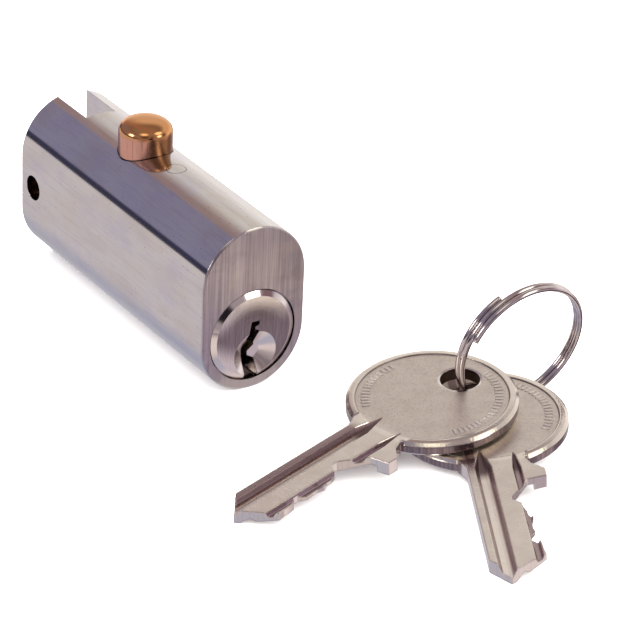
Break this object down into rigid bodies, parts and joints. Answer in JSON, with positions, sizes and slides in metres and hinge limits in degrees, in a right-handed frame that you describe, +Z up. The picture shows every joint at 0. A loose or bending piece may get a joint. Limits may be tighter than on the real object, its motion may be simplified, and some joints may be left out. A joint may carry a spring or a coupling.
{
  "type": "filing cabinet lock",
  "caption": "Oval-bodied cabinet lock with a pin tumbler plug, a sprung round bolt worked by the plug's crank, a rear clevis slot, and keys on a split ring.",
  "frame": {"origin": "on the plug's axis, in the plane of the housing's front face", "axes": "+Y runs back from the face along the lock, +Z is up towards the bolt, +X is to the right as seen from the front"},
  "size_m": [0.0637, 0.1159, 0.0306],
  "materials": {
    "housing": "satin nickel plate, long faces polished",
    "plug": "satin nickel plate, turned",
    "hardened_steel": "ground",
    "bolt_brass": "polished",
    "spring_steel": "bright drawn",
    "pin_brass": "turned",
    "nickel_silver": "coined and tumbled nickel silver",
    "ring_steel": "polished"
  },
  "bodies": {
    "lock_body": {"housing": "housing", "keeper_pin": "hardened_steel", "chamber_caps": "housing", "bolt_spring": "spring_steel", "driver_spring_1": "spring_steel", "driver_spring_2": "spring_steel", "driver_spring_3": "spring_steel", "driver_spring_4": "spring_steel", "driver_spring_5": "spring_steel"},
    "plug": {"plug": "plug", "crank_pin": "hardened_steel"},
    "bolt": {"bolt": "bolt_brass"},
    "split_ring": {"split_ring": "ring_steel"},
    "key_1": {"key_1": "nickel_silver"},
    "key_2": {"key_2": "nickel_silver"},
    "key_pin_1": {"key_pin_1": "pin_brass"},
    "key_pin_2": {"key_pin_2": "pin_brass"},
    "key_pin_3": {"key_pin_3": "pin_brass"},
    "key_pin_4": {"key_pin_4": "pin_brass"},
    "key_pin_5": {"key_pin_5": "pin_brass"},
    "driver_pin_1": {"driver_pin_1": "pin_brass"},
    "driver_pin_2": {"driver_pin_2": "pin_brass"},
    "driver_pin_3": {"driver_pin_3": "pin_brass"},
    "driver_pin_4": {"driver_pin_4": "pin_brass"},
    "driver_pin_5": {"driver_pin_5": "pin_brass"}
  },
  "joints": [
    {"name": "plug_turn", "type": "hinge", "parent": "lock_body", "child": "plug", "pos_m": [0, 0, 0], "axis": [0, 1, 0], "range_deg": [0, 90]},
    {"name": "bolt_slide", "type": "slide", "parent": "lock_body", "child": "bolt", "axis": [0, 0, -1], "range_m": [0, 0.005], "stiffness_N_per_m": 300, "springref_m": -0.002, "deforming": ["bolt_spring"]},
    {"name": "ring_lift", "type": "slide", "parent": "lock_body", "child": "split_ring", "axis": [0, 0, 1], "range_m": [0, 0.1]},
    {"name": "key_1_swing", "type": "hinge", "parent": "split_ring", "child": "key_1", "pos_m": [0.02189, -0.0222, -0.00359], "axis": [-0.0924, -0.015, 0.9956], "range_deg": [-20, 25]},
    {"name": "key_2_swing", "type": "hinge", "parent": "split_ring", "child": "key_2", "pos_m": [0.02415, -0.02341, -0.00614], "axis": [-0.0856, 0.008, 0.9963], "range_deg": [0, 30]},
    {"name": "key_pin_1_drop", "type": "slide", "parent": "plug", "child": "key_pin_1", "axis": [0, 0, -1], "range_m": [0, 0.00185]},
    {"name": "key_pin_2_drop", "type": "slide", "parent": "plug", "child": "key_pin_2", "axis": [0, 0, -1], "range_m": [0, 0.00365]},
    {"name": "key_pin_3_drop", "type": "slide", "parent": "plug", "child": "key_pin_3", "axis": [0, 0, -1], "range_m": [0, 0.00385]},
    {"name": "key_pin_4_drop", "type": "slide", "parent": "plug", "child": "key_pin_4", "axis": [0, 0, -1], "range_m": [0, 0.00315]},
    {"name": "key_pin_5_drop", "type": "slide", "parent": "plug", "child": "key_pin_5", "axis": [0, 0, -1], "range_m": [0, 0.00445]},
    {"name": "driver_pin_1_lift", "type": "slide", "parent": "lock_body", "child": "driver_pin_1", "axis": [0, 0, 1], "range_m": [0, 0.0028], "stiffness_N_per_m": 60, "springref_m": -0.003, "deforming": ["driver_spring_1"]},
    {"name": "driver_pin_2_lift", "type": "slide", "parent": "lock_body", "child": "driver_pin_2", "axis": [0, 0, 1], "range_m": [0, 0.0028], "stiffness_N_per_m": 60, "springref_m": -0.003, "deforming": ["driver_spring_2"]},
    {"name": "driver_pin_3_lift", "type": "slide", "parent": "lock_body", "child": "driver_pin_3", "axis": [0, 0, 1], "range_m": [0, 0.0028], "stiffness_N_per_m": 60, "springref_m": -0.003, "deforming": ["driver_spring_3"]},
    {"name": "driver_pin_4_lift", "type": "slide", "parent": "lock_body", "child": "driver_pin_4", "axis": [0, 0, 1], "range_m": [0, 0.0028], "stiffness_N_per_m": 60, "springref_m": -0.003, "deforming": ["driver_spring_4"]},
    {"name": "driver_pin_5_lift", "type": "slide", "parent": "lock_body", "child": "driver_pin_5", "axis": [0, 0, 1], "range_m": [0, 0.0028], "stiffness_N_per_m": 60, "springref_m": -0.003, "deforming": ["driver_spring_5"]}
  ],
  "couplings": [
    {"joint": "plug_turn", "follows": "bolt_slide", "rad_per_m": 314.15}
  ]
}
